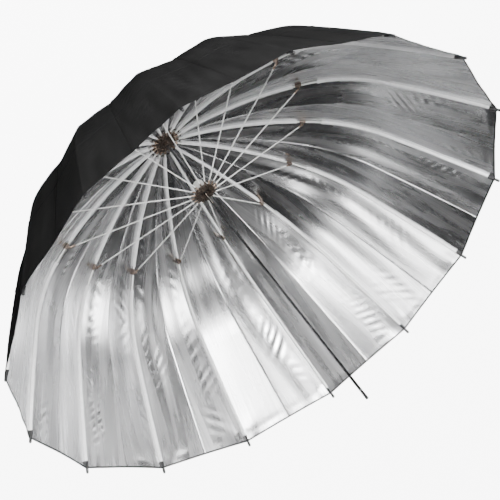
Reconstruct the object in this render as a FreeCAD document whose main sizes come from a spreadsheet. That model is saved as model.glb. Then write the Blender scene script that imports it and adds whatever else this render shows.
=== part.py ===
import FreeCAD, Part
import math
import os

import Sketcher

# Umbrella reflector, open. The origin is on the shaft's axis at the outer tip of the crown cap, and +Z
# runs along the shaft to its free end, the way the reflector faces. Rib 1 lies over +X and the others
# follow clockwise, seen from +Z. Lengths are in millimetres and angles in degrees.

DIMENSIONS = {
    # the rib's centreline is three tangent arcs that start on the crown's pivot circle
    "rib_count": 16,
    "pivot_circle_radius": 20,
    "crown_pivot_height": 22,
    "root_slope": 4,
    "inner_length": 363.4,
    "inner_turn": 24,
    "shoulder_length": 208.6,
    "shoulder_turn": 29,
    "outer_length": 294.8,
    "outer_turn": 3.3,
    "rod_radius": 2.25,
    "rod_start": 12,
    "flex_gap": 2.3,
    # flat eyes that turn on the two wire rings
    "wire_radius": 0.7,
    "wire_groove_radius": 0.75,
    "eye_bore_radius": 0.8,
    "eye_radius": 2.6,
    "eye_thickness": 2.2,
    "eye_blade_length": 10,
    "eye_blade_height": 4.2,
    "ferrule_start": 8,
    "ferrule_length": 9,
    "rib_ferrule_radius": 3,
    "stretcher_ferrule_radius": 2.2,
    "ferrule_clearance": 0.05,
    # bracket that joins a stretcher to its rib
    "bracket_station": 346,
    "bracket_offset": 9,
    "bracket_length": 16,
    "bracket_radius": 3.3,
    "bracket_bore_radius": 2.35,
    "ear_gap": 2.4,
    "ear_thickness": 1,
    "ear_radius": 3.2,
    "ear_foot": 2.2,
    "rivet_radius": 1,
    "rivet_bore_radius": 1.05,
    "rivet_head_radius": 1.9,
    "rivet_head_height": 0.8,
    "stretcher_radius": 1.5,
    # cap on the rib's tip, outside the hem
    "tip_neck_radius": 2.95,
    "tip_neck_length": 5,
    "tip_neck_overlap": 1,
    "tip_bulb_radius": 3.6,
    "tip_bulb_start": 0.6,
    "tip_bulb_length": 9.8,
    # canopy, outside the ribs
    "canopy_offset": 3.4,
    "canopy_thickness": 0.8,
    "canopy_hole_radius": 12,
    # slotted hubs
    "hub_radius": 26,
    "slot_width": 3,
    "crown_slot_floor": 14,
    "crown_hub_below": 2.7,
    "crown_hub_above": 3,
    "collar_radius": 8,
    "collar_height": 13,
    "hub_bore_radius": 3.55,
    "crown_pin_radius": 1,
    "crown_pin_bore_radius": 1.05,
    "crown_pin_length": 18,
    "crown_pin_above": 8,
    "crown_pin_azimuth": 11.25,
    "cap_flange_radius": 22,
    "cap_flange_edge": 14,
    "cap_flange_taper": 2,
    "cap_top": 17,
    "cap_boss_radius": 9,
    "cap_dome_radius": 12,
    # runner
    "runner_half_height": 4,
    "runner_slot_floor": 16.5,
    "runner_rim_radius": 14.5,
    "runner_web_top": -1.5,
    "runner_bore_radius": 3.8,
    "window_radius": 4.2,
    "window_place": 9.2,
    "window_azimuth": 135,
    "sleeve_radius": 13.5,
    "sleeve_inside_radius": 11.8,
    "sleeve_length": 34,
    "sleeve_end_wall": 4,
    "sleeve_round": 3,
    # shaft
    "shaft_radius": 3.5,
    "shaft_bore_radius": 2.7,
    "shaft_start": 6,
    "tube_end": 927,
    "shaft_end": 940,
    "stop_groove_height": 712,
    "crimp_groove_height": 916,
    "groove_half_width": 2,
    "groove_bevel": 1,
    "groove_radius": 3.1,
    "end_cap_radius": 3.6,
    "end_cap_stem_radius": 2.65,
    "end_cap_stem_length": 12,
    "end_cap_round": 1.5,
    # spring catch that holds the runner open
    "catch_azimuth": 45,
    "catch_thickness": 2,
    "catch_slot_width": 2.6,
    "catch_gap": 0.6,
    "catch_length": 38,
    "catch_nose_radius": 6,
    "catch_nose_foot": 2.6,
    "catch_nose_length": 3,
    "catch_leaf_inside": 1,
    "catch_leaf_depth": 2.4,
    "catch_tail_inside": 0.4,
    "catch_pin_place": 1.8,
    "catch_pin_back": 3,
    "catch_pin_radius": 0.8,
    "catch_pin_bore_radius": 0.85,
    "catch_pin_length": 5.6,
    "catch_slot_margin": 2,
}

# below this a corner counts as lying on its axis
TINY = 1e-9

doc = FreeCAD.newDocument("umbrella_reflector")
dims = doc.addObject("Spreadsheet::Sheet", "Dims")
for row, (alias, value) in enumerate(DIMENSIONS.items(), start=1):
    dims.set(f"A{row}", alias)
    dims.set(f"B{row}", str(value))
    dims.setAlias(f"B{row}", alias)
doc.recompute()

layout = doc.addObject("App::VarSet", "Layout")


def derive(name, expression):
    """Add a length or angle that follows from the driving dimensions."""
    layout.addProperty("App::PropertyFloat", name)
    layout.setExpression(name, expression)


# Stations 0 to 3 are the ends of the three arcs; slope is measured from the crown's plane.
derive("x0", "Dims.pivot_circle_radius")
derive("z0", "Dims.crown_pivot_height")
derive("slope0", "Dims.root_slope")
for station, arc in enumerate(("inner", "shoulder", "outer")):
    slope, slope_after = f"Layout.slope{station}", f"Layout.slope{station + 1}"
    derive(f"slope{station + 1}", f"{slope} + Dims.{arc}_turn")
    derive(f"{arc}_radius", f"Dims.{arc}_length / (Dims.{arc}_turn * pi / 180)")
    derive(f"{arc}_centre_x", f"Layout.x{station} - Layout.{arc}_radius * sin({slope} * 1deg)")
    derive(f"{arc}_centre_z", f"Layout.z{station} + Layout.{arc}_radius * cos({slope} * 1deg)")
    derive(f"x{station + 1}", f"Layout.{arc}_centre_x + Layout.{arc}_radius * sin({slope_after} * 1deg)")
    derive(f"z{station + 1}", f"Layout.{arc}_centre_z - Layout.{arc}_radius * cos({slope_after} * 1deg)")

# The rib flexes at the middle of the shoulder arc.
derive("flex_slope", "Layout.slope1 + Dims.shoulder_turn / 2")
derive("flex_x", "Layout.shoulder_centre_x + Layout.shoulder_radius * sin(Layout.flex_slope * 1deg)")
derive("flex_z", "Layout.shoulder_centre_z - Layout.shoulder_radius * cos(Layout.flex_slope * 1deg)")

# The stretcher's outer pivot stands inside the rod; the runner's pivots mirror the crown's about it.
derive("bracket_slope", "Layout.slope0 + Dims.inner_turn * Dims.bracket_station / Dims.inner_length")
derive("bracket_x", "Layout.inner_centre_x + Layout.inner_radius * sin(Layout.bracket_slope * 1deg)")
derive("bracket_z", "Layout.inner_centre_z - Layout.inner_radius * cos(Layout.bracket_slope * 1deg)")
derive("joint_x", "Layout.bracket_x - Dims.bracket_offset * sin(Layout.bracket_slope * 1deg)")
derive("joint_z", "Layout.bracket_z + Dims.bracket_offset * cos(Layout.bracket_slope * 1deg)")
derive("runner_z", "2 * Layout.joint_z - Layout.z0")
derive("stretcher_slope", "atan2(Layout.runner_z - Layout.joint_z; Layout.x0 - Layout.joint_x) / 1deg")
derive("stretcher_length", "hypot(Layout.joint_x - Layout.x0; Layout.runner_z - Layout.joint_z)")
derive("catch_low", "Layout.runner_z + Dims.runner_half_height + Dims.catch_gap")
doc.recompute()


def place(item, x="0", y="0", z="0", yaw="0", pitch="0", roll="0"):
    """Bind an object's placement: yaw about Z, then pitch about Y, then roll about X."""
    vector = f"create(<<vector>>; {x}; {y}; {z})"
    rotation = f"create(<<rotation>>; {yaw}; {pitch}; {roll})"
    item.setExpression("Placement", f"create(<<placement>>; {vector}; {rotation})")
    return item


def cylinder(name, radius, height, **where):
    item = doc.addObject("Part::Cylinder", name)
    item.setExpression("Radius", radius)
    item.setExpression("Height", height)
    return place(item, **where)


def box(name, length, width, height, **where):
    item = doc.addObject("Part::Box", name)
    item.setExpression("Length", length)
    item.setExpression("Width", width)
    item.setExpression("Height", height)
    return place(item, **where)


def ring(name, radius, section, height):
    item = doc.addObject("Part::Torus", name)
    item.setExpression("Radius1", radius)
    item.setExpression("Radius2", section)
    return place(item, z=height)


def fuse(name, items):
    item = doc.addObject("Part::MultiFuse", name)
    item.Shapes = items
    return item


def cut(name, base, *tools):
    item = doc.addObject("Part::Cut", name)
    item.Base = base
    item.Tool = tools[0] if len(tools) == 1 else fuse(f"{name}_cutters", list(tools))
    return item


def group(name, items, azimuth="0"):
    """Separate solids in one object, turned about the shaft."""
    item = doc.addObject("Part::Compound", name)
    item.Links = items
    return place(item, yaw=azimuth)


def around(name, item):
    """The item once for each rib."""
    count = DIMENSIONS["rib_count"]
    return [group(f"{name}_{k + 1:02d}", [item], f"-{k} * 360 / Dims.rib_count") for k in range(count)]


def number(expression):
    return float(dims.evalExpression(expression))


def draw_outline(sketch, corners):
    """Draw a closed outline through corners of (x, y) or, where an arc leaves the corner, of
    (x, y, radius, turn), with turn 1 to the left and -1 to the right. Every value is an expression."""
    points = [FreeCAD.Vector(number(corner[0]), number(corner[1]), 0) for corner in corners]
    first = sketch.GeometryCount
    for index, corner in enumerate(corners):
        start, end = points[index], points[(index + 1) % len(points)]
        if len(corner) == 2:
            sketch.addGeometry(Part.LineSegment(start, end))
            start_vertex = 1
        else:
            radius, turn = number(corner[2]), corner[3]
            chord = end - start
            reach = math.sqrt(radius**2 - (chord.Length / 2) ** 2)
            left = FreeCAD.Vector(-chord.y, chord.x, 0).normalize()
            centre = (start + end) * 0.5 + left * (reach * turn)
            angles = [math.atan2((p - centre).y, (p - centre).x) for p in (start, end)]
            circle = Part.Circle(centre, FreeCAD.Vector(0, 0, 1), radius)
            sketch.addGeometry(Part.ArcOfCircle(circle, *(angles if turn > 0 else angles[::-1])))
            start_vertex = 1 if turn > 0 else 2
            radius_index = sketch.addConstraint(Sketcher.Constraint("Radius", first + index, radius))
            sketch.setExpression(f"Constraints[{radius_index}]", corner[2])
        for kind, axis, value, expression in (
            ("DistanceX", -2, points[index].x, corner[0]),
            ("DistanceY", -1, points[index].y, corner[1]),
        ):
            if abs(value) < TINY:
                sketch.addConstraint(Sketcher.Constraint("PointOnObject", first + index, start_vertex, axis))
                continue
            size = Sketcher.Constraint(kind, -1, 1, first + index, start_vertex, value)
            sketch.setExpression(f"Constraints[{sketch.addConstraint(size)}]", expression)
    for index, corner in enumerate(corners):
        following = corners[(index + 1) % len(corners)]
        end_vertex = 1 if len(corner) > 2 and corner[3] < 0 else 2
        start_vertex = 2 if len(following) > 2 and following[3] < 0 else 1
        sketch.addConstraint(
            Sketcher.Constraint(
                "Coincident",
                first + index,
                end_vertex,
                first + (index + 1) % len(corners),
                start_vertex,
            )
        )


def plane_of(body, role):
    return next(feature for feature in body.Origin.OriginFeatures if feature.Role == role)


def lathe(name, corners):
    """A turned piece: a body with its half section revolved about the shaft's axis."""
    body = doc.addObject("PartDesign::Body", name)
    sketch = body.newObject("Sketcher::SketchObject", f"{name}_section")
    sketch.AttachmentSupport = [(plane_of(body, "XZ_Plane"), "")]
    sketch.MapMode = "FlatFace"
    draw_outline(sketch, corners)
    turned = body.newObject("PartDesign::Revolution", f"{name}_turned")
    turned.Profile = sketch
    turned.ReferenceAxis = (sketch, ["V_Axis"])
    turned.Angle = 360
    return body


def arc_rod(name, arc, slope_from, slope_to):
    """A length of round rod along one of the rib's arcs."""
    rod = doc.addObject("Part::Torus", name)
    rod.setExpression("Radius1", f"Layout.{arc}_radius")
    rod.setExpression("Radius2", "Dims.rod_radius")
    rod.setExpression("Angle3", f"{slope_to} - ({slope_from})")
    centre = {"x": f"Layout.{arc}_centre_x", "z": f"Layout.{arc}_centre_z"}
    return place(rod, pitch=f"90 - ({slope_from})", roll="90", **centre)


def along(x, z, slope, distance="0", offset="0"):
    """The point at a distance along a slope and an offset to its inner side, for place()."""
    return {
        "x": f"{x} + ({distance}) * cos(({slope}) * 1deg) - ({offset}) * sin(({slope}) * 1deg)",
        "z": f"{z} + ({distance}) * sin(({slope}) * 1deg) + ({offset}) * cos(({slope}) * 1deg)",
    }


def rod_piece(name, radius, length, x, z, slope, start):
    """A cylinder in the rib's plane, along a slope."""
    return cylinder(name, radius, length, pitch=f"90 - ({slope})", **along(x, z, slope, start))


def cross_piece(name, radius, width, x, z):
    """A cylinder across the rib's plane, centred on it."""
    return cylinder(name, radius, width, x=x, y=f"({width}) / 2", z=z, roll="90")


def eye(name, x, z, slope, ferrule_radius, rod_radius, bore_radius):
    """A flat eye on a pivot, with a ferrule for the rod's end."""
    blade = box(
        f"{name}_blade",
        "Dims.eye_blade_length",
        "Dims.eye_thickness",
        "Dims.eye_blade_height",
        pitch=f"-({slope})",
        y="-Dims.eye_thickness / 2",
        **along(x, z, slope, "0", "-Dims.eye_blade_height / 2"),
    )
    disc = cross_piece(f"{name}_disc", "Dims.eye_radius", "Dims.eye_thickness", x, z)
    line = (x, z, slope)
    ferrule = rod_piece(f"{name}_ferrule", ferrule_radius, "Dims.ferrule_length", *line, "Dims.ferrule_start")
    socket_radius = f"{rod_radius} + Dims.ferrule_clearance"
    socket = rod_piece(f"{name}_socket", socket_radius, "2 * Dims.ferrule_length", *line, "Dims.rod_start")
    bore = cross_piece(f"{name}_bore", bore_radius, "2 * Dims.eye_thickness", x, z)
    return cut(name, fuse(f"{name}_blank", [blade, disc, ferrule]), socket, bore)


def make_rib_inner():
    """The rib from the crown to its shoulder, with its root eye and the stretcher's bracket."""
    start = "Layout.slope0 + Dims.rod_start / Dims.inner_length * Dims.inner_turn"
    inner = arc_rod("rib_inner_first_arc", "inner", start, "Layout.slope1")
    shoulder = arc_rod("rib_inner_shoulder", "shoulder", "Layout.slope1", "Layout.flex_slope")
    dome = doc.addObject("Part::Sphere", "rib_inner_dome")
    dome.setExpression("Radius", "Dims.rod_radius")
    place(dome, x="Layout.flex_x", z="Layout.flex_z")
    rod = fuse("rib_inner_rod", [inner, shoulder, dome])
    root = ("Layout.x0", "Layout.z0", "Layout.slope0")
    sizes = ("Dims.rib_ferrule_radius", "Dims.rod_radius", "Dims.eye_bore_radius")
    root_eye = eye("rib_root_eye", *root, *sizes)
    return [rod, root_eye, *make_bracket()]


def make_bracket():
    """A sleeve on the rod with two ears and their rivet."""
    base = ("Layout.bracket_x", "Layout.bracket_z", "Layout.bracket_slope")
    joint = ("Layout.joint_x", "Layout.joint_z")
    start = "-Dims.bracket_length / 2"
    sleeve = rod_piece("bracket_sleeve", "Dims.bracket_radius", "Dims.bracket_length", *base, start)
    ears = []
    for side, low in (("left", "Dims.ear_gap / 2"), ("right", "-Dims.ear_gap / 2 - Dims.ear_thickness")):
        plate = box(
            f"bracket_{side}_plate",
            "2 * Dims.ear_radius",
            "Dims.ear_thickness",
            "Dims.bracket_offset - Dims.ear_foot",
            pitch="-Layout.bracket_slope",
            y=low,
            **along(*base, "-Dims.ear_radius", "Dims.ear_foot"),
        )
        end = cylinder(
            f"bracket_{side}_end",
            "Dims.ear_radius",
            "Dims.ear_thickness",
            x=joint[0],
            y=f"{low} + Dims.ear_thickness",
            z=joint[1],
            roll="90",
        )
        ears += [plate, end]
    bore_start = "-Dims.bracket_length"
    bore = rod_piece("bracket_bore", "Dims.bracket_bore_radius", "2 * Dims.bracket_length", *base, bore_start)
    hole = cross_piece("bracket_rivet_hole", "Dims.rivet_bore_radius", "4 * Dims.ear_gap", *joint)
    bracket = cut("bracket", fuse("bracket_blank", [sleeve, *ears]), bore, hole)

    grip = "Dims.ear_gap + 2 * Dims.ear_thickness"
    shank = cross_piece("rivet_shank", "Dims.rivet_radius", grip, *joint)
    head = "Dims.rivet_head_height"
    heads = [
        cylinder(f"rivet_{side}_head", "Dims.rivet_head_radius", head, x=joint[0], y=y, z=joint[1], roll="90")
        for side, y in (("left", f"({grip}) / 2 + {head}"), ("right", f"-({grip}) / 2"))
    ]
    return [bracket, fuse("rivet", [shank, *heads])]


def make_rib_outer():
    """The rib from its shoulder to the rim, with its tip cap."""
    start = "Layout.flex_slope + Dims.flex_gap / Dims.shoulder_length * Dims.shoulder_turn"
    shoulder = arc_rod("rib_outer_shoulder", "shoulder", start, "Layout.slope2")
    last = arc_rod("rib_outer_last_arc", "outer", "Layout.slope2", "Layout.slope3")
    rod = fuse("rib_outer_rod", [shoulder, last])

    tip = ("Layout.x3", "Layout.z3", "Layout.slope3")
    neck_length = "Dims.tip_neck_length + Dims.tip_bulb_start + Dims.tip_neck_overlap"
    neck = rod_piece("tip_neck", "Dims.tip_neck_radius", neck_length, *tip, "-Dims.tip_neck_length")
    bulb = rod_piece("tip_bulb", "Dims.tip_bulb_radius", "Dims.tip_bulb_length", *tip, "Dims.tip_bulb_start")
    dome = doc.addObject("Part::Sphere", "tip_dome")
    dome.setExpression("Radius", "Dims.tip_bulb_radius")
    place(dome, **along(*tip, "Dims.tip_bulb_start + Dims.tip_bulb_length"))
    socket_length = "2 * Dims.tip_neck_length + Dims.ferrule_clearance"
    socket_radius = "Dims.rod_radius + Dims.ferrule_clearance"
    socket = rod_piece("tip_socket", socket_radius, socket_length, *tip, "-2 * Dims.tip_neck_length")
    return [rod, cut("tip_cap", fuse("tip_blank", [neck, bulb, dome]), socket)]


def make_stretcher():
    """The stretcher, with an eye at the runner and one between the bracket's ears."""
    outer = ("Layout.joint_x", "Layout.joint_z", "Layout.stretcher_slope")
    inner = ("Layout.x0", "Layout.runner_z", "Layout.stretcher_slope + 180")
    length = "Layout.stretcher_length - 2 * Dims.rod_start"
    rod = rod_piece("stretcher_rod", "Dims.stretcher_radius", length, *outer, "Dims.rod_start")
    sizes = ("Dims.stretcher_ferrule_radius", "Dims.stretcher_radius")
    outer_eye = eye("stretcher_outer_eye", *outer, *sizes, "Dims.rivet_bore_radius")
    inner_eye = eye("stretcher_inner_eye", *inner, *sizes, "Dims.eye_bore_radius")
    return [rod, outer_eye, inner_eye]


def gore_profile(name, azimuth):
    """The canopy's section in a rib's plane: the rib's arcs, offset outwards, joined to the crown's edge."""

    def corner(station, offset):
        x = f"Layout.x{station} + ({offset}) * sin(Layout.slope{station} * 1deg)"
        return x, f"Layout.z{station} - ({offset}) * cos(Layout.slope{station} * 1deg)"

    def crown_corner(offset):
        x, z = corner(0, offset)
        return "Dims.canopy_hole_radius", f"{z} - ({x} - Dims.canopy_hole_radius) * tan(Layout.slope0 * 1deg)"

    inside, outside = "Dims.canopy_offset", "Dims.canopy_offset + Dims.canopy_thickness"
    arcs = ("inner", "shoulder", "outer")
    out = [(*corner(k, outside), f"Layout.{arc}_radius + {outside}", 1) for k, arc in enumerate(arcs)]
    back = [(*corner(k + 1, inside), f"Layout.{arc}_radius + {inside}", -1) for k, arc in enumerate(arcs)]
    corners = [crown_corner(outside), *out, corner(3, outside)]
    corners += [*back[::-1], corner(0, inside), crown_corner(inside)]
    sketch = doc.addObject("Sketcher::SketchObject", name)
    draw_outline(sketch, corners)
    return place(sketch, yaw=azimuth, roll="90")


def make_canopy():
    """Sixteen gores, each straight from rib to rib."""
    gore = doc.addObject("Part::Loft", "gore")
    next_rib = "-360 / Dims.rib_count"
    gore.Sections = [gore_profile("gore_profile_one", "0"), gore_profile("gore_profile_two", next_rib)]
    gore.Solid = True
    gore.Ruled = True
    return group("canopy", around("gore", gore))


def slots(name, floor):
    """Radial slots through a hub, one for each rib."""
    size = ("Dims.hub_radius", "Dims.slot_width", "2 * Dims.hub_radius")
    one = box(f"{name}_slot", *size, x=floor, y="-Dims.slot_width / 2")
    return fuse(f"{name}_slots", around(f"{name}_slot", one))


def make_crown_hub():
    low, high = "Layout.z0 - Dims.crown_hub_below", "Layout.z0 + Dims.crown_hub_above"
    top = "Layout.z0 + Dims.collar_height"
    blank = lathe(
        "crown_hub_blank",
        [
            ("Dims.hub_bore_radius", low),
            ("Dims.hub_radius", low),
            ("Dims.hub_radius", high),
            ("Dims.collar_radius", high),
            ("Dims.collar_radius", top),
            ("Dims.hub_bore_radius", top),
        ],
    )
    groove = ring("crown_wire_groove", "Dims.pivot_circle_radius", "Dims.wire_groove_radius", "Layout.z0")
    return cut("crown_hub", blank, slots("crown", "Dims.crown_slot_floor"), groove, crown_pin_shape("hub"))


def crown_pin_shape(name, radius="Dims.crown_pin_bore_radius", length="2 * Dims.crown_pin_length"):
    """The cross pin, or its hole, through the collar and the shaft."""
    return cylinder(
        f"crown_pin_in_{name}",
        radius,
        length,
        x=f"-({length}) / 2 * cos(Dims.crown_pin_azimuth * 1deg)",
        y=f"-({length}) / 2 * sin(Dims.crown_pin_azimuth * 1deg)",
        z="Layout.z0 + Dims.crown_pin_above",
        yaw="Dims.crown_pin_azimuth",
        pitch="90",
    )


def make_crown_pin():
    pin = crown_pin_shape("place", "Dims.crown_pin_radius", "Dims.crown_pin_length")
    return group("crown_pin", [pin])


def make_crown_cap():
    """The outer cap, which clamps the canopy against the hub."""
    dome_depth = "Dims.cap_dome_radius - sqrt(Dims.cap_dome_radius^2 - Dims.cap_boss_radius^2)"
    return lathe(
        "crown_cap",
        [
            ("0", "0", "Dims.cap_dome_radius", 1),
            ("Dims.cap_boss_radius", dome_depth),
            ("Dims.cap_boss_radius", "Dims.cap_flange_edge - Dims.cap_flange_taper"),
            ("Dims.cap_flange_radius", "Dims.cap_flange_edge"),
            ("Dims.cap_flange_radius", "Dims.cap_top"),
            ("Dims.hub_bore_radius", "Dims.cap_top"),
            ("Dims.hub_bore_radius", "Dims.shaft_start"),
            ("0", "Dims.shaft_start"),
        ],
    )


def make_shaft():
    """A tube with a stop groove, a crimp groove, the catch's slot and two pin holes."""

    def groove(height):
        low, high = f"{height} - Dims.groove_half_width", f"{height} + Dims.groove_half_width"
        return [
            ("Dims.shaft_radius", low),
            ("Dims.groove_radius", f"{low} + Dims.groove_bevel"),
            ("Dims.groove_radius", f"{high} - Dims.groove_bevel"),
            ("Dims.shaft_radius", high),
        ]

    tube = lathe(
        "shaft_tube",
        [
            ("Dims.shaft_bore_radius", "Dims.shaft_start"),
            ("Dims.shaft_radius", "Dims.shaft_start"),
            *groove("Dims.stop_groove_height"),
            *groove("Dims.crimp_groove_height"),
            ("Dims.shaft_radius", "Dims.tube_end"),
            ("Dims.shaft_bore_radius", "Dims.tube_end"),
        ],
    )
    slot = box(
        "catch_slot",
        "2 * Dims.shaft_radius",
        "Dims.catch_slot_width",
        "Dims.catch_length + 2 * Dims.catch_slot_margin",
        x="Dims.catch_slot_width / 2 * sin(Dims.catch_azimuth * 1deg)",
        y="-Dims.catch_slot_width / 2 * cos(Dims.catch_azimuth * 1deg)",
        z="Layout.catch_low - Dims.catch_slot_margin",
        yaw="Dims.catch_azimuth",
    )
    pin_hole = catch_pin_shape("shaft", "Dims.catch_pin_bore_radius", "4 * Dims.shaft_radius")
    return cut("shaft", tube, slot, pin_hole, crown_pin_shape("shaft"))


def make_shaft_end_cap():
    side = "Dims.end_cap_radius"
    return lathe(
        "shaft_end_cap",
        [
            ("0", "Dims.tube_end - Dims.end_cap_stem_length"),
            ("Dims.end_cap_stem_radius", "Dims.tube_end - Dims.end_cap_stem_length"),
            ("Dims.end_cap_stem_radius", "Dims.tube_end"),
            (side, "Dims.tube_end"),
            (side, "Dims.shaft_end - Dims.end_cap_round", "Dims.end_cap_round", 1),
            (f"{side} - Dims.end_cap_round", "Dims.shaft_end"),
            ("0", "Dims.shaft_end"),
        ],
    )


def catch_pin_shape(name, radius, length):
    """The catch's pin, or its hole, across the shaft beside its axis."""
    direction = "Dims.catch_azimuth * 1deg"
    return cylinder(
        f"catch_pin_in_{name}",
        radius,
        length,
        x=f"Dims.catch_pin_place * cos({direction}) + ({length}) / 2 * sin({direction})",
        y=f"Dims.catch_pin_place * sin({direction}) - ({length}) / 2 * cos({direction})",
        z="Layout.catch_low + Dims.catch_length - Dims.catch_pin_back",
        yaw="Dims.catch_azimuth",
        roll="-90",
    )


def make_catch_pin():
    return group("catch_pin", [catch_pin_shape("place", "Dims.catch_pin_radius", "Dims.catch_pin_length")])


def make_open_catch():
    """A leaf in the shaft's slot: square at the runner, and sloping down to its pin."""
    body = doc.addObject("PartDesign::Body", "catch_leaf")
    sketch = body.newObject("Sketcher::SketchObject", "catch_leaf_side")
    sketch.AttachmentSupport = [(plane_of(body, "XZ_Plane"), "")]
    sketch.MapMode = "FlatFace"
    leaf_outside = "Dims.catch_leaf_inside + Dims.catch_leaf_depth"
    top = "Layout.catch_low + Dims.catch_length"
    draw_outline(
        sketch,
        [
            ("Dims.catch_nose_foot", "Layout.catch_low"),
            ("Dims.catch_nose_radius", "Layout.catch_low"),
            ("Dims.catch_nose_radius", "Layout.catch_low + Dims.catch_nose_length"),
            (leaf_outside, f"{top} - 2 * Dims.catch_pin_back"),
            (leaf_outside, top),
            ("Dims.catch_tail_inside", top),
            ("Dims.catch_tail_inside", f"{top} - 2 * Dims.catch_pin_back"),
        ],
    )
    leaf = body.newObject("PartDesign::Pad", "catch_leaf_pad")
    leaf.Profile = sketch
    leaf.Midplane = True
    leaf.setExpression("Length", "Dims.catch_thickness")
    place(body, yaw="Dims.catch_azimuth")
    hole = catch_pin_shape("leaf", "Dims.catch_pin_bore_radius", "4 * Dims.shaft_radius")
    return cut("open_catch", body, hole)


def make_runner_hub():
    """A slotted rim on a web with two round windows."""
    low, high = "Layout.runner_z - Dims.runner_half_height", "Layout.runner_z + Dims.runner_half_height"
    web = "Layout.runner_z + Dims.runner_web_top"
    blank = lathe(
        "runner_hub_blank",
        [
            ("Dims.runner_bore_radius", low),
            ("Dims.hub_radius", low),
            ("Dims.hub_radius", high),
            ("Dims.runner_rim_radius", high),
            ("Dims.runner_rim_radius", web),
            ("Dims.runner_bore_radius", web),
        ],
    )
    groove_place = ("Dims.pivot_circle_radius", "Dims.wire_groove_radius", "Layout.runner_z")
    cutters = [ring("runner_wire_groove", *groove_place)]
    for side, turn in (("left", "0"), ("right", "180")):
        azimuth = f"(Dims.window_azimuth + {turn}) * 1deg"
        centre = {
            "x": f"Dims.window_place * cos({azimuth})",
            "y": f"Dims.window_place * sin({azimuth})",
            "z": f"{low} - Dims.hub_radius / 4",
        }
        depth = "4 * Dims.runner_half_height"
        cutters.append(cylinder(f"{side}_window", "Dims.window_radius", depth, **centre))
    runner_slots = slots("runner", "Dims.runner_slot_floor")
    place(runner_slots, z=f"{low} - Dims.hub_radius / 2")
    return cut("runner_hub", blank, runner_slots, *cutters)


def make_runner_sleeve():
    """A plastic cup on the runner's crown side."""
    high = "Layout.runner_z - Dims.runner_half_height"
    low = f"{high} - Dims.sleeve_length"
    floor = f"{low} + Dims.sleeve_end_wall"
    return lathe(
        "runner_sleeve",
        [
            ("Dims.runner_bore_radius", low),
            ("Dims.sleeve_radius - Dims.sleeve_round", low, "Dims.sleeve_round", 1),
            ("Dims.sleeve_radius", f"{low} + Dims.sleeve_round"),
            ("Dims.sleeve_radius", high),
            ("Dims.sleeve_inside_radius", high),
            ("Dims.sleeve_inside_radius", floor),
            ("Dims.runner_bore_radius", floor),
        ],
    )


def make_wire(name, height):
    return ring(name, "Dims.pivot_circle_radius", "Dims.wire_radius", height)


rib_parts = {
    "rib_inner": make_rib_inner(),
    "rib_outer": make_rib_outer(),
    "stretcher": make_stretcher(),
}
subparts = []
for kind, pieces in rib_parts.items():
    for k in range(DIMENSIONS["rib_count"]):
        subparts.append(group(f"{kind}_{k + 1:02d}", pieces, f"-{k} * 360 / Dims.rib_count"))
subparts += [
    make_canopy(),
    make_crown_hub(),
    make_wire("crown_wire", "Layout.z0"),
    make_crown_cap(),
    make_crown_pin(),
    make_shaft(),
    make_shaft_end_cap(),
    make_catch_pin(),
    make_open_catch(),
    make_runner_hub(),
    make_runner_sleeve(),
    make_wire("runner_wire", "Layout.runner_z"),
]
doc.recompute()

for item in doc.Objects:
    if "Invalid" in item.State or "Error" in item.State:
        raise RuntimeError(f"{item.Label} failed: {item.State}")
os.makedirs("parts", exist_ok=True)
for item in subparts:
    if item.Shape.isNull() or not item.Shape.isValid():
        raise RuntimeError(f"{item.Label} has no valid shape")
    item.Shape.exportStep(f"parts/{item.Label}.step")
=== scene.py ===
"""Looks of the deep umbrella reflector: sewn canopy, rib channels, finishes, light and camera. Metres."""

from math import cos, pi, radians, sin

import bpy
import numpy as np
from mathutils import Matrix, Vector


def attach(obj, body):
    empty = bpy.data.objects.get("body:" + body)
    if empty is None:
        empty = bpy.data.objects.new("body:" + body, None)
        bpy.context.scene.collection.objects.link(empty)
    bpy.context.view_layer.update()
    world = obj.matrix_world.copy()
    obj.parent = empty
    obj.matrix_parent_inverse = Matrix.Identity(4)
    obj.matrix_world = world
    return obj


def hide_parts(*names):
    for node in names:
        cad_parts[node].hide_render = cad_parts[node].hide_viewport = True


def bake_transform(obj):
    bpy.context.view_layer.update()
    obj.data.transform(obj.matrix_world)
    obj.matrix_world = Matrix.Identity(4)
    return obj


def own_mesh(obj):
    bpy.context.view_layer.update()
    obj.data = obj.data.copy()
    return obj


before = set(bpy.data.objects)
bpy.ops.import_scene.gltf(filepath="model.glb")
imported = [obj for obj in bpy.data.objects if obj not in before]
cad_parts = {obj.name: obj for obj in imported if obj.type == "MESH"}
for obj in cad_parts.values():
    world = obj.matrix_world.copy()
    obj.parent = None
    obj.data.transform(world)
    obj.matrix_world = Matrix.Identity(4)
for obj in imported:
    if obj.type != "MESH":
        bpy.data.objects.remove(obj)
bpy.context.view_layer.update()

RIBS = 16
STEP = 2 * pi / RIBS
CROWN_R = 0.020
CROWN_Z = 0.022
START_SLOPE = radians(4)
ARCS = ((0.3634, radians(24)), (0.2086, radians(29)), (0.2948, radians(3.3)))
FLEX_AT = 0.3634 + 0.2086 / 2
RIM_AT = 0.3634 + 0.2086 + 0.2948
BRACKET_AT = 0.3460
ROD_TO_FABRIC = 0.0034
CLOTH = 0.0006
HOLE_R = 0.0125


# ---------------------------------------------------------------- shape of the open canopy

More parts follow.
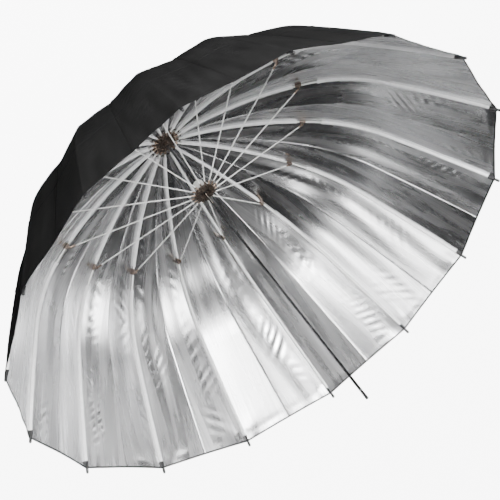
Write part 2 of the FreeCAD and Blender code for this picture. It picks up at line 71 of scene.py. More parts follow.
def rib_line(s):
    """r, z and slope of the rib's centreline at distance s from the crown hinge."""
    r = np.full_like(s, CROWN_R)
    z = np.full_like(s, CROWN_Z)
    slope = np.full_like(s, START_SLOPE)
    start, r0, z0, a0 = 0.0, CROWN_R, CROWN_Z, START_SLOPE
    for length, turn in ARCS:
        radius = length / turn
        here = s >= start if start else s > -1
        a = a0 + (s - start) / radius
        r = np.where(here, r0 + radius * (np.sin(a) - sin(a0)), r)
        z = np.where(here, z0 - radius * (np.cos(a) - cos(a0)), z)
        slope = np.where(here, a, slope)
        a1 = a0 + turn
        r0 += radius * (sin(a1) - sin(a0))
        z0 -= radius * (cos(a1) - cos(a0))
        a0 = a1
        start += length
    return r, z, slope


def azimuth(rib):
    return -STEP * rib


# puckers: each pair is the least and the most of one random draw, and LIVELY is a choice of four
RIPPLE_SEED = 1000
PACKETS = 5
LIVELY = (0.0, 0.4, 0.8, 1.0)
PACKET_AT = (0.30, 0.92)
PACKET_HALF = (0.030, 0.080)
RIPPLE_WAVE = (0.021, 0.036)
RIPPLE_SLANT = (0.4, 1.1)
PACKET_BESIDE = (0.20, 0.55)
PACKET_REACH = (0.14, 0.28)
RIPPLE_TALL = (0.00022, 0.00060)
RIPPLE_BEND = 0.9
BEND_LENGTH = 0.040
LONG_FOLDS = (0.6, 1.8)
FOLD_WANDER = 0.22
WANDER_LENGTH = (0.10, 0.20)
FOLD_TALL = (0.0004, 0.0009)
FOLDS_FULL_AT = 0.3


def ripples(half, s, across, width):
    """Puckers of one half gore: soft packets of short slanting waves beside the rib, over a few long folds.
    Some halves get more of them than others."""
    rng = np.random.default_rng(RIPPLE_SEED + half)
    window = np.sin(pi * np.clip(across, 0, 1))
    lively = rng.choice(LIVELY)
    height = np.zeros_like(s)
    for _ in range(PACKETS):
        centre = rng.uniform(*PACKET_AT) * RIM_AT
        packet_half = rng.uniform(*PACKET_HALF)
        wave = rng.uniform(*RIPPLE_WAVE)
        slant = rng.uniform(*RIPPLE_SLANT) * rng.choice((-1, 1))
        beside = rng.uniform(*PACKET_BESIDE)
        reach = rng.uniform(*PACKET_REACH)
        start, sway = rng.uniform(0, 2 * pi, 2)
        tall = lively * rng.uniform(*RIPPLE_TALL)
        packet = np.exp(-(((s - centre) / packet_half) ** 2) - ((across - beside) / reach) ** 2)
        bend = RIPPLE_BEND * np.sin(s / BEND_LENGTH + sway)
        height += tall * packet * np.sin(2 * pi * (s + slant * across * width) / wave + bend + start)
    folds, drift = rng.uniform(*LONG_FOLDS), rng.uniform(0, 2 * pi)
    wander = FOLD_WANDER * np.sin(s / rng.uniform(*WANDER_LENGTH) + drift)
    long_fold = np.sin(2 * pi * (folds * across + wander) + drift)
    height += rng.uniform(*FOLD_TALL) * long_fold * np.clip(s / FOLDS_FULL_AT, 0, 1)
    return height * window


TIP_SEED = 2000
TIP_TALL = (0.0010, 0.0022)
TIP_FADE = 0.055
TIP_CLEAR = 0.035
TIP_BLUNT = 0.012
TIP_TURNS = 3.4


def tip_folds(rib, s, side, width):
    """Broad folds that fan out from the point where a rib tip stretches the hem."""
    rng = np.random.default_rng(TIP_SEED + rib)
    down = np.maximum(RIM_AT - s, 0)
    reach = np.hypot(down, width)
    fan = np.arctan2(width * side, down + TIP_BLUNT)
    tall = rng.uniform(*TIP_TALL)
    turn = rng.uniform(0, 2 * pi)
    fade = np.exp(-((reach / TIP_FADE) ** 2)) * np.clip(reach / TIP_CLEAR, 0, 1) ** 2
    return tall * fade * np.sin(TIP_TURNS * fan + turn)


HEM_SEED = 3000
ROLL_TALL = 0.0006
ROLL_INSIDE = 0.020
ROLL_HALF = 0.009


def hem_fold(half, s, across):
    """The slack just inside the hem: one low roll along the rim, uneven from gore to gore."""
    rng = np.random.default_rng(HEM_SEED + half)
    inside = RIM_AT - s
    roll = np.exp(-(((inside - ROLL_INSIDE) / ROLL_HALF) ** 2))
    uneven = 1 + 0.4 * np.sin(9 * across + half)
    return rng.uniform(-ROLL_TALL, ROLL_TALL) * roll * np.sin(pi * across) * uneven


SAG_MOST = 0.0085
HEM_DIP = 0.0015
SEAM_RIDGE = 0.0006
SEAM_HALF = 0.0013


def fabric_point(rib, s, c, lift=0.0):
    """Point of the canopy's inner face. c runs from -1 to 1 between the seams beside the rib, and a little
    past 1 into the next half gore. lift is the distance towards the inside of the dish."""
    gore = np.where(c < 0, rib - 1, rib)
    u = np.where(c < 0, 1 + c / 2, c / 2)
    toward_seam = 1 - np.abs(1 - np.abs(c))
    dip = HEM_DIP * (s / RIM_AT) ** 8 * (1 - (1 - toward_seam) ** 2)
    s = s - dip
    r, z, slope = rib_line(s)
    r = r + ROD_TO_FABRIC * np.sin(slope)
    z = z - ROD_TO_FABRIC * np.cos(slope)
    a, b = azimuth(gore), azimuth(gore + 1)
    x = (1 - u) * r * np.cos(a) + u * r * np.cos(b)
    y = (1 - u) * r * np.sin(a) + u * r * np.sin(b)
    half_chord = r * sin(STEP / 2)
    open_part = np.clip(s / 0.25, 0, 1) ** 1.5
    rim_part = 1 - 0.62 * np.clip((s - 0.6) / (RIM_AT - 0.6), 0, 1)
    height = SAG_MOST * open_part * rim_part * toward_seam ** 1.35
    from_seam = (1 - toward_seam) * half_chord
    height += SEAM_RIDGE * np.exp(-((from_seam / SEAM_HALF) ** 2)) * np.clip(s / 0.05, 0, 1)
    for side in (0, 1):
        mine = (u < 0.5) if side == 0 else (u >= 0.5)
        for g in range(-1, RIBS + 1):
            here = mine & (gore == g)
            if here.any():
                half = 2 * (g % RIBS) + side
                wrinkle = ripples(half, s[here], toward_seam[here], half_chord[here])
                wrinkle += hem_fold(half, s[here], toward_seam[here])
                near = (g + side) % RIBS
                wrinkle += tip_folds(near, s[here], 1 - 2 * side, toward_seam[here] * half_chord[here])
                height[here] += wrinkle * np.clip(s[here] / 0.12, 0, 1)
    middle = (a + b) / 2
    height = height + lift
    return np.stack([
        x - height * np.sin(slope) * np.cos(middle),
        y - height * np.sin(slope) * np.sin(middle),
        z + height * np.cos(slope),
    ], axis=-1)


def fabric_normal(rib, s, c):
    """Unit normal of the canopy towards the inside of the dish."""
    ds = 0.0012
    dc = np.where(c > 0, -0.004, 0.004)
    here = fabric_point(rib, s, c)
    along = fabric_point(rib, s + ds, c) - fabric_point(rib, s - ds, c)
    side = (fabric_point(rib, s, c + dc) - here) * np.sign(dc)[..., None]
    n = np.cross(side, along)
    return n / np.linalg.norm(n, axis=-1, keepdims=True)


def rest_half_chord(s):
    r, _, slope = rib_line(s)
    return (r + ROD_TO_FABRIC * np.sin(slope)) * sin(STEP / 2)


# ---------------------------------------------------------------- meshes

def new_mesh(name, points, faces, materials, slots=None, normals=None, uvs=None):
    mesh = bpy.data.meshes.new(name)
    mesh.from_pydata(points.tolist(), [], faces.tolist() if hasattr(faces, "tolist") else faces)
    for m in materials:
        mesh.materials.append(m)
    if slots is not None:
        mesh.polygons.foreach_set("material_index", np.asarray(slots, np.int32))
    mesh.polygons.foreach_set("use_smooth", np.ones(len(mesh.polygons), bool))
    if uvs is not None:
        for layer_name, uv in uvs.items():
            layer = mesh.uv_layers.new(name=layer_name)
            loop_vertex = np.zeros(len(mesh.loops), np.int32)
            mesh.loops.foreach_get("vertex_index", loop_vertex)
            layer.data.foreach_set("uv", uv[loop_vertex].astype(np.float32).ravel())
    mesh.update()
    if normals is not None:
        mesh.normals_split_custom_set_from_vertices(normals.tolist())
    obj = bpy.data.objects.new(name, mesh)
    bpy.context.scene.collection.objects.link(obj)
    return obj


def grid_faces(rows, cols, first=0):
    i = np.arange(rows - 1)[:, None] * cols + np.arange(cols - 1)[None, :] + first
    return np.stack([i, i + 1, i + cols + 1, i + cols], axis=-1).reshape(-1, 4)


def thin_shell(name, top, bottom, top_normal, materials, uvs=None, top_slots=None):
    """Closed thin mesh between two grids of points; the top face looks to the inside of the dish."""
    rows, cols = top.shape[:2]
    count = rows * cols
    top_faces = grid_faces(rows, cols)
    bottom_faces = grid_faces(rows, cols, count)[:, ::-1]
    ring = np.concatenate([
        np.arange(cols),
        np.arange(1, rows) * cols + cols - 1,
        (rows - 1) * cols + np.arange(cols - 2, -1, -1),
        np.arange(rows - 2, 0, -1) * cols,
    ])
    ahead = np.roll(ring, -1)
    edge_faces = np.stack([ring, ring + count, ahead + count, ahead], axis=-1)
    points = np.concatenate([top.reshape(-1, 3), bottom.reshape(-1, 3)])
    normals = np.concatenate([top_normal.reshape(-1, 3), -top_normal.reshape(-1, 3)])
    slots = np.concatenate([
        np.zeros(len(top_faces)) if top_slots is None else top_slots.reshape(-1),
        np.ones(len(bottom_faces)),
        np.ones(len(edge_faces)),
    ])
    if uvs is not None:
        uvs = {k: np.concatenate([v.reshape(-1, 2)] * 2) for k, v in uvs.items()}
    faces = np.concatenate([top_faces, bottom_faces, edge_faces])
    return new_mesh(name, points, faces, materials, slots, normals, uvs)


# ---------------------------------------------------------------- finishes

def material(name):
    m = bpy.data.materials.new(name)
    m.use_nodes = True
    nodes = m.node_tree.nodes
    nodes.clear()
    out = nodes.new("ShaderNodeOutputMaterial")
    shader = nodes.new("ShaderNodeBsdfPrincipled")
    m.node_tree.links.new(shader.outputs[0], out.inputs[0])
    return m, nodes, m.node_tree.links, shader


def mapped(nodes, links, source, scale):
    """Texture coordinates stretched by scale: source is a uv layer name, or Object for places in metres."""
    if source == "Object":
        made = nodes.new("ShaderNodeTexCoord").outputs["Object"]
    else:
        layer = nodes.new("ShaderNodeUVMap")
        layer.uv_map = source
        made = layer.outputs[0]
    mapping = nodes.new("ShaderNodeMapping")
    mapping.inputs["Scale"].default_value = scale
    links.new(made, mapping.inputs["Vector"])
    return mapping.outputs[0]


def noise(nodes, links, where, scale=1.0, detail=3.0, rough=0.55):
    n = nodes.new("ShaderNodeTexNoise")
    n.inputs["Scale"].default_value = scale
    n.inputs["Detail"].default_value = detail
    n.inputs["Roughness"].default_value = rough
    links.new(where, n.inputs["Vector"])
    return n.outputs["Fac"]


def spread(nodes, links, value, low, high, from_low=0.0, from_high=1.0):
    r = nodes.new("ShaderNodeMapRange")
    r.inputs["From Min"].default_value = from_low
    r.inputs["From Max"].default_value = from_high
    r.inputs["To Min"].default_value = low
    r.inputs["To Max"].default_value = high
    links.new(value, r.inputs["Value"])
    return r.outputs["Result"]


def times(nodes, links, a, b):
    m = nodes.new("ShaderNodeMath")
    m.operation = "MULTIPLY"
    links.new(a, m.inputs[0])
    if isinstance(b, (int, float)):
        m.inputs[1].default_value = b
    else:
        links.new(b, m.inputs[1])
    return m.outputs[0]


def grey(nodes, links, value, tint=(1, 1, 1)):
    """A colour from a brightness."""
    c = nodes.new("ShaderNodeCombineColor")
    for i in range(3):
        links.new(times(nodes, links, value, tint[i]), c.inputs[i])
    return c.outputs[0]


def bump(nodes, links, height, shader, distance, strength=1.0, after=None):
    b = nodes.new("ShaderNodeBump")
    b.inputs["Distance"].default_value = distance
    b.inputs["Strength"].default_value = strength
    links.new(height, b.inputs["Height"])
    if after is not None:
        links.new(after, b.inputs["Normal"])
    links.new(b.outputs[0], shader.inputs["Normal"])
    return b.outputs[0]


def weave(nodes, links, pitch):
    """Over and under of threads, from the cloth's own coordinates."""
    where = mapped(nodes, links, "cloth", (1, 1, 1))
    parts = nodes.new("ShaderNodeSeparateXYZ")
    links.new(where, parts.inputs[0])
    waves = []
    for axis in (0, 1):
        scaled = times(nodes, links, parts.outputs[axis], 2 * pi / pitch)
        wave = nodes.new("ShaderNodeMath")
        wave.operation = "SINE"
        links.new(scaled, wave.inputs[0])
        waves.append(wave.outputs[0])
    return times(nodes, links, waves[0], waves[1])


# STREAKS are noise cells in a metre, across and along the gore. TONE is a brightness, and ROUGH a roughness,
# that the noise swings between. THREAD is the pitch of the weave, and MIDDLE the part of the noise used
STREAKS = (240, 2.6, 1)
WIDE_STREAKS = (45, 4, 1)
SILVER_TONE = (0.56, 0.72)
SILVER_ROUGH = (0.22, 0.32)
SILVER_TINT = (1.0, 1.0, 1.01)
# painted shade along the seams: the next two pairs make the cloth's base colour up to 15% darker within about
# 1.6 mm of each seam line
SEAM_SHADE_TONE = (0.85, 1.0)
SEAM_SHADE_HALF = (0.0006, 0.0016)
SILVER_THREAD = 0.0009
BLACK_STREAKS = (30, 6, 1)
BLACK_TONE = (0.009, 0.018)
BLACK_THREAD = 0.0008
MIDDLE = (0.3, 0.7)


def silver_cloth():
    m, nodes, links, shader = material("silver_cloth")
    shader.inputs["Metallic"].default_value = 1.0
    streak = noise(nodes, links, mapped(nodes, links, "cloth", STREAKS), 1.0, 2.0, 0.5)
    wide = noise(nodes, links, mapped(nodes, links, "cloth", WIDE_STREAKS), 1.0, 3.0, 0.5)
    seam = nodes.new("ShaderNodeUVMap")
    seam.uv_map = "edges"
    parts = nodes.new("ShaderNodeSeparateXYZ")
    links.new(seam.outputs[0], parts.inputs[0])
    # painted shade: the base colour darkens towards each seam line
    seam_shade = spread(nodes, links, parts.outputs[0], *SEAM_SHADE_TONE, *SEAM_SHADE_HALF)
    tone = times(nodes, links, spread(nodes, links, streak, *SILVER_TONE, *MIDDLE), seam_shade)
    links.new(grey(nodes, links, tone, SILVER_TINT), shader.inputs["Base Color"])
    links.new(spread(nodes, links, wide, *SILVER_ROUGH, *MIDDLE), shader.inputs["Roughness"])
    first = bump(nodes, links, streak, shader, 0.00022, 0.35)
    bump(nodes, links, weave(nodes, links, SILVER_THREAD), shader, 0.00001, 0.3, first)
    return m


def black_cloth():
    m, nodes, links, shader = material("black_cloth")
    tone = noise(nodes, links, mapped(nodes, links, "cloth", BLACK_STREAKS), 1.0, 3.0, 0.5)
    dark = spread(nodes, links, tone, *BLACK_TONE, *MIDDLE)
    links.new(grey(nodes, links, dark), shader.inputs["Base Color"])
    shader.inputs["Roughness"].default_value = 0.48
    shader.inputs["Specular IOR Level"].default_value = 0.35
    bump(nodes, links, weave(nodes, links, BLACK_THREAD), shader, 0.00005, 0.5)
    return m


def plain(name, colour, rough, metallic=0.0, grain=0.0, coat=0.0):
    """A hard finish with slightly uneven gloss, from places on the object itself."""
    m, nodes, links, shader = material(name)
    shader.inputs["Metallic"].default_value = metallic
    shader.inputs["Coat Weight"].default_value = coat
    cloudy = noise(nodes, links, mapped(nodes, links, "Object", (90, 90, 90)), 1.0, 4.0, 0.6)
    fine = noise(nodes, links, mapped(nodes, links, "Object", (1400, 1400, 1400)), 1.0, 2.0, 0.5)
    mix = nodes.new("ShaderNodeMix")
    mix.data_type = "RGBA"
    mix.inputs["A"].default_value = (*[c * 0.86 for c in colour], 1)
    mix.inputs["B"].default_value = (*colour, 1)
    links.new(spread(nodes, links, cloudy, 0, 1, *MIDDLE), mix.inputs["Factor"])
    links.new(mix.outputs["Result"], shader.inputs["Base Color"])
    roughness = spread(nodes, links, cloudy, rough * 0.8, min(rough * 1.25, 1), *MIDDLE)
    links.new(roughness, shader.inputs["Roughness"])
    if grain:
        bump(nodes, links, fine, shader, grain, 0.5)
    return m


SILVER = silver_cloth()
BLACK = black_cloth()
CHANNEL = plain("channel_cloth", (0.90, 0.90, 0.90), 0.45, 0.12, 0.00002)
WHITE_ROD = plain("white_rod", (0.90, 0.90, 0.88), 0.28, 0.0, 0.00001, 0.3)
HUB_BRONZE = plain("hub_bronze", (0.13, 0.105, 0.088), 0.36, 0.8, 0.00002)
BRONZE = plain("eye_bronze", (0.38, 0.29, 0.23), 0.26, 0.85, 0.00002)
BRACKET_STEEL = plain("bracket_bronze", (0.20, 0.155, 0.13), 0.34, 0.85, 0.00001)
SHAFT_STEEL = plain("shaft_steel", (0.14, 0.14, 0.145), 0.24, 1.0, 0.0)
CATCH_STEEL = plain("catch_steel", (0.86, 0.82, 0.72), 0.22, 1.0, 0.0)
WIRE_STEEL = plain("wire_steel", (0.55, 0.53, 0.50), 0.25, 1.0, 0.0)
BLACK_PLASTIC = plain("black_plastic", (0.015, 0.015, 0.016), 0.38, 0.0, 0.00001)
WHITE_PLASTIC = plain("white_plastic", (0.80, 0.79, 0.76), 0.40, 0.0, 0.00001)
# painted shade: a near-black finish for the plates that stand for the shade inside openings
SHADE_PLATE = plain("painted_shade_plate", (0.02, 0.018, 0.016), 0.7)


# ---------------------------------------------------------------- canopy, in strips that each hang on one rib

# name, end along the rib, columns in a half gore, share of the width left when folded
SEGMENTS = (
    ("crown", 0.075, 7, 0.85),
    ("upper", 0.150, 10, 0.72),
    ("middle", 0.290, 16, 0.60),
    ("shoulder", FLEX_AT, 22, 0.46),
    ("lower", 0.620, 26, 0.33),
    ("hem", RIM_AT, 30, 0.26),
)
ROW_STEP = 0.0045
LAP = 0.004
LAP_EDGE = 0.0003
SEAM_LAP = (0.0004, 0.0045, 0.009)
SEAM_LAP_SHARE = (0.1, 0.2, 0.3)
LAP_DROP = CLOTH + 0.0003
BINDING = 0.0050
SEAM_COLUMNS = (0.0045, 0.0022, 0.0010)
SEAM_COLUMNS_SHARE = (0.30, 0.16, 0.08)
HEM_ROWS = 13
HEM_FOLD_WIDE = 0.017
HEM_FOLD_STEP = 0.0012
HEM_FOLD_THICK = 0.0007


HOLE_SEARCH = (-0.02, 0.0, 400)


def hole_start():
    """Distance along the rib, negative, where the canopy's round hole in the crown begins."""
    s = np.linspace(*HOLE_SEARCH)
    r, _, slope = rib_line(s)
    return float(s[np.argmin(np.abs(r + ROD_TO_FABRIC * np.sin(slope) - HOLE_R))])


def columns(s, count):
    """c for each row and column: even from the rib outwards, then close to the seam by real distance."""
    half = rest_half_chord(s)[:, None]
    near = np.minimum(np.array(SEAM_COLUMNS)[None, :], half * np.array([SEAM_COLUMNS_SHARE]))
    even = np.linspace(0, 1, count + 1)[None, :] * (1 - near[:, :1] / half)
    right = np.concatenate([even, 1 - near[:, 1:] / half, np.ones_like(half)], axis=1)
    past = 1 + np.minimum(np.array([SEAM_LAP]), half * np.array([SEAM_LAP_SHARE])) / half
    return np.concatenate([-right[:, :0:-1], right, past], axis=1)


def canopy_strip(rib, name, start, end, count, body):
    """One strip of the gore round a rib. Its laps go under the strip before it and under the next gore."""
    lapped = start > 0
    rows = max(2, int(round((end - start) / ROW_STEP)) + 1)
    s = np.linspace(start, end, rows)
    if name == "hem":
        s = np.concatenate([s[:-5], np.linspace(s[-5], end, HEM_ROWS)])
    if lapped:
        s = np.concatenate([[start - LAP, start - LAP_EDGE], s])
    c = columns(s, count)
    grid_s = np.repeat(s[:, None], c.shape[1], axis=1)
    under = np.where(c > 1.00001, LAP_DROP, 0.0)
    if lapped:
        under[:2, :] += LAP_DROP
    normal = fabric_normal(rib, grid_s, c)
    face = fabric_point(rib, grid_s, c)
    top = face - normal * under[..., None]
    if name == "hem":
        fold = np.clip((grid_s - (RIM_AT - HEM_FOLD_WIDE)) / HEM_FOLD_STEP, 0, 1)
        top = top + normal * (HEM_FOLD_THICK * fold)[..., None]
    bottom = face - normal * (under + CLOTH)[..., None]
    across = c * rest_half_chord(s)[:, None]
    to_seam = np.abs(1 - np.abs(c)) * rest_half_chord(s)[:, None]
    uvs = {"cloth": np.stack([across, grid_s + 0.9 * rib], axis=-1),
           "edges": np.stack([to_seam, RIM_AT - grid_s], axis=-1)}
    middle_s = (grid_s[1:, :-1] + grid_s[:-1, :-1]) / 2
    slots = np.where(middle_s > RIM_AT - BINDING, 1, 0)
    number = rib + 1
    obj = thin_shell(f"canopy_{name}_{number:02d}", top, bottom, normal, [SILVER, BLACK], uvs, slots)
    length = end - start
    width = 2 * float(rest_half_chord(np.array([end]))[0])
    area = 2 * float(rest_half_chord(s).mean()) * length
    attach(obj, body)
    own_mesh(obj)
    return obj


CENTRE_ROWS = 6
CENTRE_COLUMNS = 7


def canopy_centre():
    """The round middle of the canopy, clamped at the hub: it stays there while the ribs fold away."""
    s = np.linspace(hole_start(), 0.0, CENTRE_ROWS)
    half = rest_half_chord(s)[:, None]
    tops, bottoms, normals, cloths, edges = [], [], [], [], []
    for rib in range(RIBS):
        c = np.linspace(-1, 1, CENTRE_COLUMNS)[None, :-1 if rib < RIBS - 1 else None]
        c = np.repeat(c, CENTRE_ROWS, axis=0)
        grid_s = np.repeat(s[:, None], c.shape[1], axis=1)
        normal = fabric_normal(rib, grid_s, c)
        top = fabric_point(rib, grid_s, c)
        tops.append(top)
        bottoms.append(top - normal * CLOTH)
        normals.append(normal)
        cloths.append(np.stack([(c + 2 * rib) * half, grid_s], axis=-1))
        edges.append(np.stack([np.abs(1 - np.abs(c)) * half, RIM_AT - grid_s], axis=-1))
    tops, bottoms, normals, cloths, edges = (
        np.concatenate(grids, axis=1) for grids in (tops, bottoms, normals, cloths, edges))
    uvs = {"cloth": cloths, "edges": edges}
    obj = thin_shell("canopy_centre", tops, bottoms, normals, [SILVER, BLACK], uvs)
    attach(obj, "root")
    return obj


strips = [canopy_centre()]
for rib in range(RIBS):
    begin = 0.0
    for name, end, count, keep in SEGMENTS:
        body = f"rib_inner_{rib + 1:02d}" if end <= FLEX_AT else f"rib_outer_{rib + 1:02d}"
        strips.append(canopy_strip(rib, name, begin, end, count, body))
        begin = end
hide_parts("canopy")


# ---------------------------------------------------------------- rib channels sewn to the inner face

CHANNEL_HALF = (0.0036, 0.0034, 0.0032, 0.0029, 0.0022, 0.0012)
CHANNEL_HEIGHT = (0.0002, 0.0006, 0.0020, 0.0042, 0.0062, 0.0070)
CHANNEL_TOP = 0.0072
CHANNEL_CLOTH = 0.0004
CHANNEL_ROW = 0.006
LOOSE_ABOVE = 0.0015
CHANNEL_GROWS = (0.05, 0.32)
CHANNEL_SEED = 4000
LOOSE_WAVE = 0.03
LOOSE_LENGTHS = (0.013, 0.037)
MOUTH_WIDER = 0.25
MOUTH_LENGTH = 0.008
RISE_NEAR_CROWN = 0.88
RISE_GAINED = 0.12
FLEX_HALF = 0.012
# name, start and end along the rib, finish: the lower one crosses the flex, and black pockets hold the tips
CHANNELS = (
    ("upper", 0.030, BRACKET_AT - 0.014, CHANNEL),
    ("lower", BRACKET_AT + 0.050, RIM_AT - 0.018, CHANNEL),
    ("pocket", RIM_AT - 0.0175, RIM_AT - 0.0010, BLACK),
)


def channel(rib, name, start, end, finish):
    """A narrow sleeve over the rib, standing on the fabric, a little wavy along its loose top."""
    number = rib + 1
    y = np.array([-v for v in CHANNEL_HALF] + [0.0] + list(CHANNEL_HALF[::-1]))
    h = np.array(list(CHANNEL_HEIGHT) + [CHANNEL_TOP] + list(CHANNEL_HEIGHT[::-1]))
    s = np.linspace(start, end, int((end - start) / CHANNEL_ROW) + 2)
    rng = np.random.default_rng(CHANNEL_SEED + rib)
    waves = [np.sin(s / length + rng.uniform(0, 6)) for length in LOOSE_LENGTHS]
    loose = 1 + LOOSE_WAVE * waves[0] * waves[1]
    mouth = 1 + MOUTH_WIDER * np.exp(-((s - start) / MOUTH_LENGTH) ** 2)
    grown = np.clip((s - CHANNEL_GROWS[0]) / (CHANNEL_GROWS[1] - CHANNEL_GROWS[0]), 0, 1)
    half = rest_half_chord(s)
    c = y[None, :] / half[:, None]
    foot = fabric_point(rib, np.repeat(s[:, None], len(y), axis=1), c)
    a = azimuth(rib)
    _, _, slope = rib_line(s)
    inward = np.stack([-np.sin(slope) * cos(a), -np.sin(slope) * sin(a), np.cos(slope)], axis=-1)
    inward = inward[:, None, :]
    growth = RISE_NEAR_CROWN + RISE_GAINED * grown
    rise = h[None, :] * np.where(h > LOOSE_ABOVE, (loose * mouth * growth)[:, None], 1.0)
    level = foot + inward * rise[..., None]
    normal = np.cross(np.gradient(level, axis=1), np.gradient(level, axis=0))
    normal /= np.linalg.norm(normal, axis=-1, keepdims=True)
    normal *= np.sign((normal * inward).sum(-1).mean())
    uvs = {"cloth": np.stack([c * half[:, None], np.repeat(s[:, None], len(y), axis=1)], axis=-1)}
    label = f"rib_channel_{name}_{number:02d}"
    obj = thin_shell(label, level, level - normal * CHANNEL_CLOTH, normal, [finish, finish], uvs)
    if name == "upper":
        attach(obj, f"rib_inner_{number:02d}")
    elif name == "pocket":
        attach(obj, f"rib_outer_{number:02d}")
    else:
        around = [rib_line(np.array([FLEX_AT + d])) for d in (-FLEX_HALF, FLEX_HALF)]
        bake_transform(obj)


for rib in range(RIBS):
    for name, start, end, finish in CHANNELS:
        channel(rib, name, start, end, finish)


# ---------------------------------------------------------------- painted shade: dark plates in small openings

def shade_plate(name, centre, normal, along, half_long, half_wide, thick, finish, body):
    """A thin oval plate of painted shade: a dark sheet put at the bottom of an opening to stand for its
    shade.
    """
    up = Vector(normal).normalized()
    long_way = Vector(along).normalized()
    wide_way = up.cross(long_way)
    count = 24
    points = []
    for level in (0.0, -thick):
        for k in range(count):
            a = 2 * pi * k / count
            rim = long_way * (half_long * cos(a)) + wide_way * (half_wide * sin(a))
            points.append(Vector(centre) + rim + up * level)
    sides = [(k, k + count, (k + 1) % count + count, (k + 1) % count) for k in range(count)]
    faces = [tuple(range(count)), tuple(range(2 * count - 1, count - 1, -1))] + sides
    mesh = bpy.data.meshes.new(name)
    mesh.from_pydata(points, [], faces)
    mesh.materials.append(finish)
    obj = bpy.data.objects.new(name, mesh)
    bpy.context.scene.collection.objects.link(obj)
    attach(obj, body)
    return obj


# the slots near the crown are part of the cloth, so they hang on the same rib as its first strip
SLOT_AT = 0.024
SLOT_HALF_LONG = 0.0052
SLOT_HALF_WIDE = 0.0021
DISC_THICK = 0.0003
DISC_ABOVE = 0.0004
# painted shade: a dark plate on the cloth at each seam near the crown stands for the shade in the slot there
for rib in range(RIBS):
    where = np.array([[SLOT_AT]])
    mid = fabric_point(rib, where, np.array([[0.999]]), DISC_ABOVE)[0, 0]
    facing = fabric_normal(rib, where, np.array([[0.9]]))[0, 0]
    a = azimuth(rib + 0.5)
    number = f"{rib + 1:02d}"
    slot_shade_plate = shade_plate(f"crown_slot_shade_{number}", mid, facing, (-sin(a), cos(a), 0), SLOT_HALF_LONG,
                     SLOT_HALF_WIDE, DISC_THICK, SHADE_PLATE, f"rib_inner_{number}")
    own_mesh(slot_shade_plate)

WINDOW_R = 0.0092
WINDOW_FLOOR = 0.2173
WINDOW_HALF = 0.0041
# painted shade: a dark plate at the floor of each runner window stands for the shade inside it
for label, azimuth_deg in (("left", 135), ("right", 315)):
    a = radians(azimuth_deg)
    shade_plate(f"runner_window_shade_{label}", (WINDOW_R * cos(a), WINDOW_R * sin(a), WINDOW_FLOOR), (0, 0, 1), (1, 0, 0),
         WINDOW_HALF, WINDOW_HALF, DISC_THICK, SHADE_PLATE, "runner")


# ---------------------------------------------------------------- finishes of the CAD parts

def solids(mesh):
    """Number of the connected solid that each vertex belongs to, by welded place."""
    co = np.zeros(len(mesh.vertices) * 3)
    mesh.vertices.foreach_get("co", co)
    places = np.round(co.reshape(-1, 3), 6)
    _, welded = np.unique(places, axis=0, return_inverse=True)
    welded = welded.ravel()
    group = np.arange(welded.max() + 1)
    edges = np.zeros(len(mesh.edges) * 2, int)
    mesh.edges.foreach_get("vertices", edges)
    a, b = welded[edges.reshape(-1, 2)].T
    while True:
        low = np.minimum(group[a], group[b])
        before = group.copy()
        np.minimum.at(group, a, low)
        np.minimum.at(group, b, low)
        group = group[group]
        if (group == before).all():
            return group[welded], places


def finish_node(name, rule):
    """Gives each connected solid of a CAD node the finish that rule picks from its box and mean place."""
    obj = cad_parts[name]
    mesh = obj.data
    group, places = solids(mesh)
    finishes = []
    chosen = {}
    for g in np.unique(group):
        pts = places[group == g]
        pick = rule(pts)
        if pick not in finishes:
            finishes.append(pick)
        chosen[g] = finishes.index(pick)
    mesh.materials.clear()
    for m in finishes:
        mesh.materials.append(m)
    first = np.zeros(len(mesh.polygons), int)
    mesh.polygons.foreach_get("loop_start", first)
    loop_vertex = np.zeros(len(mesh.loops), int)
    mesh.loops.foreach_get("vertex_index", loop_vertex)
    owner = group[loop_vertex[first]]
    mesh.polygons.foreach_set("material_index", np.array([chosen[g] for g in owner], np.int32))
    return obj


def reach(pts):
    return float(np.linalg.norm(pts.max(0) - pts.min(0)))


def rib_rule(pts):
    if reach(pts) > 0.2:
        return WHITE_ROD
    near_crown = float(np.hypot(*pts.mean(0)[:2])) < 0.1
    return BRONZE if near_crown else BRACKET_STEEL


def tip_rule(pts):
    return WHITE_ROD if reach(pts) > 0.1 else BLACK_PLASTIC


def stretcher_rule(pts):
    return WHITE_ROD if reach(pts) > 0.2 else BRONZE


for rib in range(RIBS):
    finish_node(f"rib_inner_{rib + 1:02d}", rib_rule)
    finish_node(f"rib_outer_{rib + 1:02d}", tip_rule)
    finish_node(f"stretcher_{rib + 1:02d}", stretcher_rule)
for node, finish in (
    ("crown_hub", HUB_BRONZE),
    ("crown_wire", WIRE_STEEL),
    ("crown_cap", BLACK_PLASTIC),
    ("crown_pin", WIRE_STEEL),
    ("shaft", SHAFT_STEEL),
    ("shaft_end_cap", BLACK_PLASTIC),
    ("catch_pin", WIRE_STEEL),
    ("open_catch", CATCH_STEEL),
    ("runner_hub", HUB_BRONZE),
    ("runner_wire", WIRE_STEEL),
    ("runner_sleeve", WHITE_PLASTIC),
):
    finish_node(node, lambda pts, finish=finish: finish)


# ---------------------------------------------------------------- floor, light and camera

def stage_piece(name, points, faces, colour, glow):
    """A pale surface that the camera sees and that throws no light on the object."""
    mesh = bpy.data.meshes.new(name)
    mesh.from_pydata(points, [], faces)
    m, _, _, shader = material(f"{name}_white")
    shader.inputs["Base Color"].default_value = (*colour, 1)
    shader.inputs["Roughness"].default_value = 0.9
    shader.inputs["Emission Color"].default_value = (1, 1, 1, 1)
    shader.inputs["Emission Strength"].default_value = glow
    mesh.materials.append(m)
    obj = bpy.data.objects.new(name, mesh)
    obj.visible_glossy = False
    obj.visible_diffuse = False
    bpy.context.scene.collection.objects.link(obj)


FLOOR_Z = -1.3
FLOOR_HALF = 40.0
GLOW = 8.0


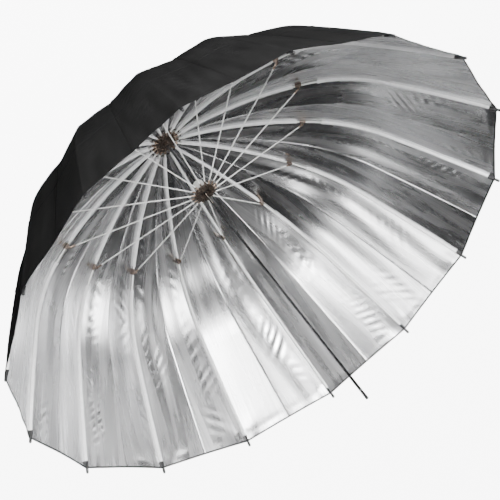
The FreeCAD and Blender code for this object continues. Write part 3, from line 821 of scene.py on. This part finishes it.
def stage():
    h, z = FLOOR_HALF, FLOOR_Z
    low = [(-h, -h, z), (h, -h, z), (h, h, z), (-h, h, z)]
    high = [(x, y, z + h) for x, y, _ in low]
    stage_piece("floor", low, [(0, 1, 2, 3)], (0.9, 0.9, 0.9), GLOW)
    walls = [(0, 1, 5, 4), (1, 2, 6, 5), (2, 3, 7, 6), (3, 0, 4, 7), (4, 5, 6, 7)]
    stage_piece("backdrop", low + high, walls, (0.9, 0.9, 0.9), GLOW)


def softbox(name, toward, distance, size, power, aim=(0, 0, 0.25)):
    """A square soft light in direction toward from the object, facing it."""
    data = bpy.data.lights.new(name, "AREA")
    data.shape = "SQUARE"
    data.size = size
    data.energy = power
    lamp = bpy.data.objects.new(name, data)
    direction = Vector(toward).normalized()
    lamp.location = Vector(aim) + direction * distance
    lamp.rotation_mode = "QUATERNION"
    lamp.rotation_quaternion = direction.to_track_quat("Z", "Y")
    bpy.context.scene.collection.objects.link(lamp)


def camera(place, forward, up, lens):
    data = bpy.data.cameras.new("camera")
    data.lens = lens
    data.sensor_width = 36
    data.clip_start = 0.05
    data.clip_end = 100
    cam = bpy.data.objects.new("camera", data)
    back = -Vector(forward).normalized()
    right = Vector(up).cross(back).normalized()
    true_up = back.cross(right)
    cam.matrix_world = Matrix.Translation(place) @ Matrix((right, true_up, back)).transposed().to_4x4()
    bpy.context.scene.collection.objects.link(cam)
    bpy.context.scene.camera = cam


# name, direction from the object, distance, side of the square, power in watts
LIGHTS = (
    ("key", (0.80, 0.43, 0.37), 2.8, 1.55, 245),
    ("side", (0.50, -0.55, 0.68), 2.8, 1.0, 46),
    ("low", (0.50, -0.85, 0.06), 2.8, 1.1, 20),
    ("back", (-0.25, 0.78, 0.52), 3.0, 0.9, 34),
    ("top", (0.08, 0.22, 0.97), 3.0, 0.5, 11),
    ("behind", (-0.55, -0.70, -0.25), 3.0, 1.6, 34),
)
DIM_ROOM = (0.018, 0.018, 0.019, 1)

world = bpy.data.worlds.new("studio")
world.use_nodes = True
world.node_tree.nodes["Background"].inputs["Color"].default_value = DIM_ROOM
bpy.context.scene.world = world
stage()
for name, toward, distance, size, power in LIGHTS:
    softbox(name, toward, distance, size, power)
camera(place=(2.0747, 2.5438, 2.6449), forward=(-0.52435, -0.64290, -0.55833),
       up=(0.75750, -0.05269, -0.65071), lens=119.87)
